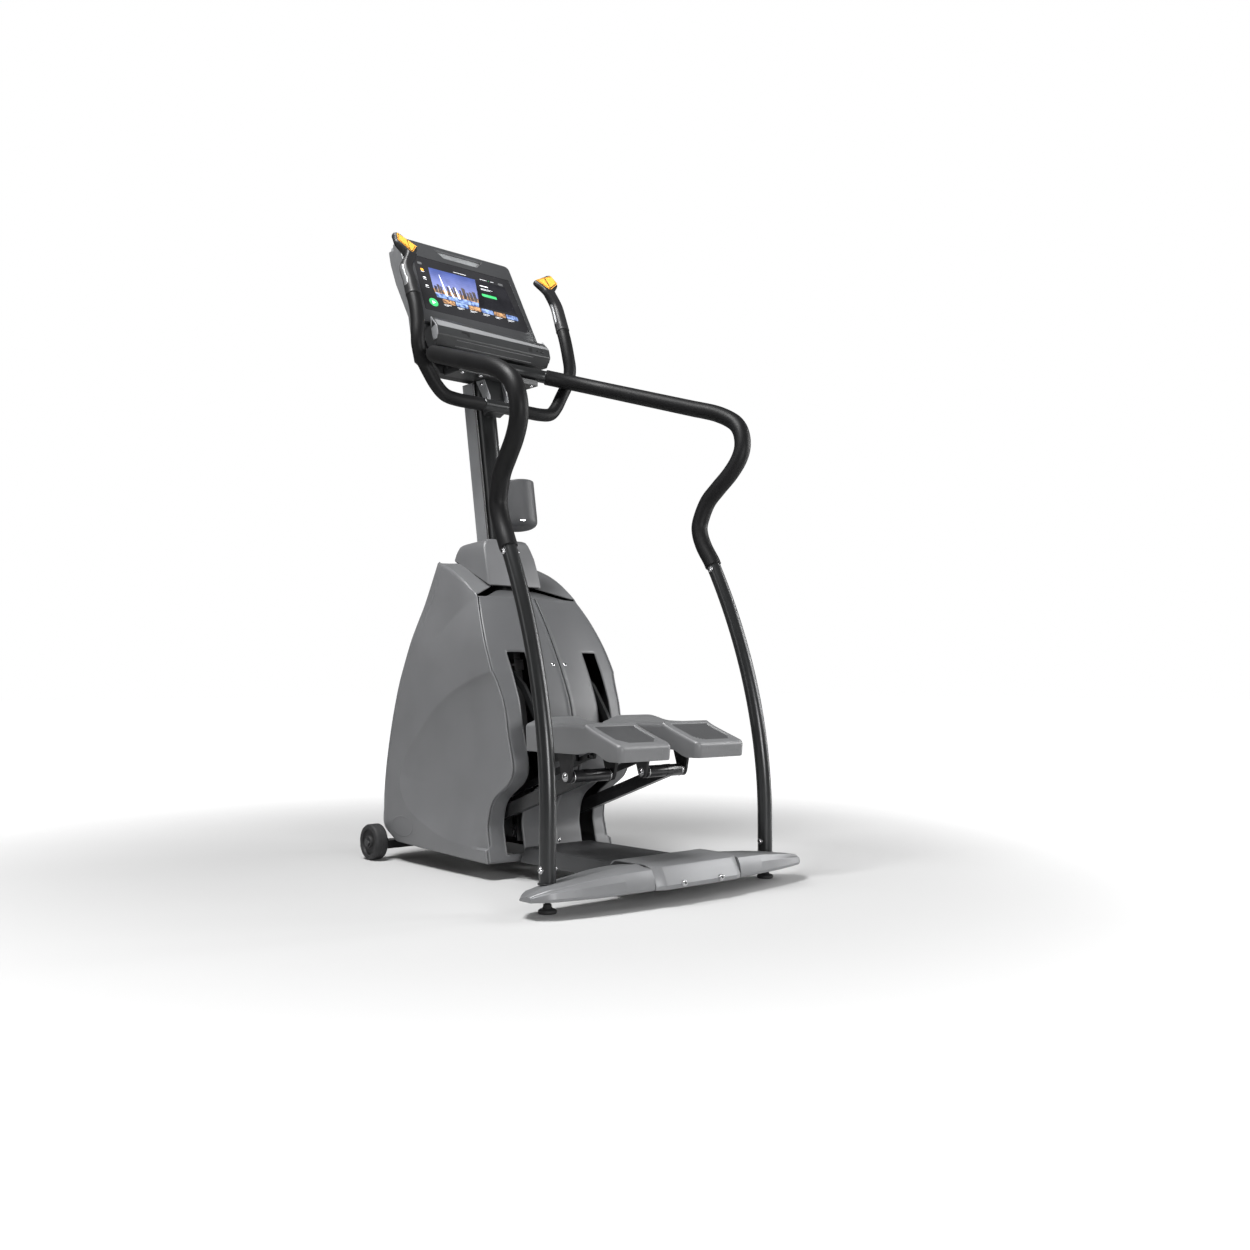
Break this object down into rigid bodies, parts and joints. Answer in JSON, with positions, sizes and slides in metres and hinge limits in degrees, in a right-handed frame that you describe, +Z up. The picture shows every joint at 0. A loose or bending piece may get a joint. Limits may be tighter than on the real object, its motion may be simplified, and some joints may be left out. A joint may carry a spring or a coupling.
{
  "type": "stair climber",
  "caption": "Gym stair climber with level pedals on swinging arms, shrouded drive, leaning mast with touch console, curved handrails and sensor handlebar.",
  "frame": {"origin": "on the floor, in the middle of the machine's bounding box seen from above", "axes": "+Z up, +Y the way the user faces (towards the console), +X the user's right"},
  "size_m": [0.89, 1.145, 1.8113],
  "materials": {
    "shroud_grey": "satin moulded plastic",
    "cover_grey": "fine-textured dark plastic",
    "pale_grey": "satin painted plastic, light",
    "frame_grey": "satin metallic powder coat",
    "stabilizer_grey": "satin metallic cast shell",
    "foam_black": "matt closed-cell foam",
    "plastic_black": "semi-matt black",
    "steel": "plain steel",
    "rubber": "matt rubber",
    "key_orange": "soft-touch key",
    "glass_black": "glossy dark touch glass"
  },
  "bodies": {
    "frame": {"accessory_tray": "cover_grey", "alternator": "steel", "alternator_belt": "rubber", "base_cover": "cover_grey", "console_bezel": "plastic_black", "console_bracket": "frame_grey", "console_housing": "cover_grey", "cup_holder": "cover_grey", "drive_belt_left": "rubber", "drive_belt_right": "rubber", "fan_grille": "pale_grey", "front_crossbar": "frame_grey", "grip_head_left": "plastic_black", "grip_head_right": "plastic_black", "handlebar_grip_left": "foam_black", "handlebar_grip_right": "foam_black", "handlebar_middle": "frame_grey", "handrail_grip_left": "foam_black", "handrail_grip_right": "foam_black", "handrail_middle": "frame_grey", "leveling_foot_left": "rubber", "leveling_foot_right": "rubber", "main_frame": "frame_grey", "mast_cover": "pale_grey", "mast_tube": "frame_grey", "neck_cover": "shroud_grey", "rear_cover_left": "cover_grey", "rear_cover_right": "cover_grey", "return_spring_left": "steel", "return_spring_right": "steel", "screen_glass": "glass_black", "shroud_left": "shroud_grey", "shroud_right": "shroud_grey", "stabilizer_cap": "stabilizer_grey", "stabilizer_left": "stabilizer_grey", "stabilizer_right": "stabilizer_grey", "upright_left": "frame_grey", "upright_right": "frame_grey"},
    "arm_left": {"pedal_arm_left": "plastic_black"},
    "step_left": {"pedal_left": "shroud_grey", "pedal_tread_left": "rubber", "pedal_bracket_left": "frame_grey"},
    "rod_left": {"leveling_rod_left": "frame_grey"},
    "clamp_left": {"belt_clamp_left": "steel"},
    "pulley_left": {"drive_pulley_left": "frame_grey"},
    "wheel_left": {"transport_wheel_left": "rubber"},
    "button_inner_left": {"key_inner_left": "key_orange"},
    "button_outer_left": {"key_outer_left": "key_orange"},
    "arm_right": {"pedal_arm_right": "plastic_black"},
    "step_right": {"pedal_right": "shroud_grey", "pedal_tread_right": "rubber", "pedal_bracket_right": "frame_grey"},
    "rod_right": {"leveling_rod_right": "frame_grey"},
    "clamp_right": {"belt_clamp_right": "steel"},
    "pulley_right": {"drive_pulley_right": "frame_grey"},
    "wheel_right": {"transport_wheel_right": "rubber"},
    "button_inner_right": {"key_inner_right": "key_orange"},
    "button_outer_right": {"key_outer_right": "key_orange"},
    "shaft": {"drive_shaft": "steel"},
    "alternator_rotor": {"alternator_pulley": "steel"}
  },
  "joints": [
    {"name": "arm_left_swing", "type": "hinge", "parent": "frame", "child": "arm_left", "pos_m": [0, 0.2765, 0.078], "axis": [1, 0, 0], "range_deg": [0, 17], "stiffness_Nm_per_rad": 60, "springref_deg": -57.3},
    {"name": "step_left_level", "type": "hinge", "parent": "arm_left", "child": "step_left", "pos_m": [0, -0.3065, 0.283], "axis": [1, 0, 0], "range_deg": [-17, 0]},
    {"name": "rod_left_swing", "type": "hinge", "parent": "frame", "child": "rod_left", "pos_m": [0, 0.2965, 0.123], "axis": [1, 0, 0], "range_deg": [0, 17]},
    {"name": "clamp_left_travel", "type": "slide", "parent": "frame", "child": "clamp_left", "axis": [0, -0.1886, -0.982], "range_m": [0, 0.18271]},
    {"name": "pulley_left_spin", "type": "hinge", "parent": "frame", "child": "pulley_left", "pos_m": [0, 0.09, 0.63381], "axis": [1, 0, 0], "range_deg": [0, 349]},
    {"name": "wheel_left_spin", "type": "hinge", "parent": "frame", "child": "wheel_left", "pos_m": [0, 0.5215, 0.051], "axis": [1, 0, 0], "continuous": true},
    {"name": "button_inner_left_press", "type": "slide", "parent": "frame", "child": "button_inner_left", "axis": [-0.1802, 0.8011, -0.5708], "range_m": [0, 0.0012], "stiffness_N_per_m": 500, "springref_m": -0.001},
    {"name": "button_outer_left_press", "type": "slide", "parent": "frame", "child": "button_outer_left", "axis": [-0.1802, 0.8011, -0.5708], "range_m": [0, 0.0012], "stiffness_N_per_m": 500, "springref_m": -0.001},
    {"name": "arm_right_swing", "type": "hinge", "parent": "frame", "child": "arm_right", "pos_m": [0, 0.2765, 0.078], "axis": [1, 0, 0], "range_deg": [0, 17], "stiffness_Nm_per_rad": 60, "springref_deg": -57.3},
    {"name": "step_right_level", "type": "hinge", "parent": "arm_right", "child": "step_right", "pos_m": [0, -0.3065, 0.283], "axis": [1, 0, 0], "range_deg": [-17, 0]},
    {"name": "rod_right_swing", "type": "hinge", "parent": "frame", "child": "rod_right", "pos_m": [0, 0.2965, 0.123], "axis": [1, 0, 0], "range_deg": [0, 17]},
    {"name": "clamp_right_travel", "type": "slide", "parent": "frame", "child": "clamp_right", "axis": [0, -0.1886, -0.982], "range_m": [0, 0.18271]},
    {"name": "pulley_right_spin", "type": "hinge", "parent": "frame", "child": "pulley_right", "pos_m": [0, 0.09, 0.63381], "axis": [1, 0, 0], "range_deg": [0, 349]},
    {"name": "wheel_right_spin", "type": "hinge", "parent": "frame", "child": "wheel_right", "pos_m": [0, 0.5215, 0.051], "axis": [1, 0, 0], "continuous": true},
    {"name": "button_inner_right_press", "type": "slide", "parent": "frame", "child": "button_inner_right", "axis": [0.1802, 0.8011, -0.5708], "range_m": [0, 0.0012], "stiffness_N_per_m": 500, "springref_m": -0.001},
    {"name": "button_outer_right_press", "type": "slide", "parent": "frame", "child": "button_outer_right", "axis": [0.1802, 0.8011, -0.5708], "range_m": [0, 0.0012], "stiffness_N_per_m": 500, "springref_m": -0.001},
    {"name": "shaft_spin", "type": "hinge", "parent": "frame", "child": "shaft", "pos_m": [0, 0.09, 0.63381], "axis": [1, 0, 0], "continuous": true},
    {"name": "alternator_spin", "type": "hinge", "parent": "frame", "child": "alternator_rotor", "pos_m": [0, 0.2565, 0.4482], "axis": [1, 0, 0], "continuous": true}
  ],
  "couplings": [
    {"joint": "step_left_level", "follows": "arm_left_swing", "ratio": -1},
    {"joint": "rod_left_swing", "follows": "arm_left_swing", "ratio": 1},
    {"joint": "clamp_left_travel", "follows": "arm_left_swing", "m_per_rad": 0.61573},
    {"joint": "pulley_left_spin", "follows": "arm_left_swing", "ratio": 20.524},
    {"joint": "step_right_level", "follows": "arm_right_swing", "ratio": -1},
    {"joint": "rod_right_swing", "follows": "arm_right_swing", "ratio": 1},
    {"joint": "clamp_right_travel", "follows": "arm_right_swing", "m_per_rad": 0.61573},
    {"joint": "pulley_right_spin", "follows": "arm_right_swing", "ratio": 20.524},
    {"joint": "alternator_spin", "follows": "shaft_spin", "ratio": 3}
  ]
}
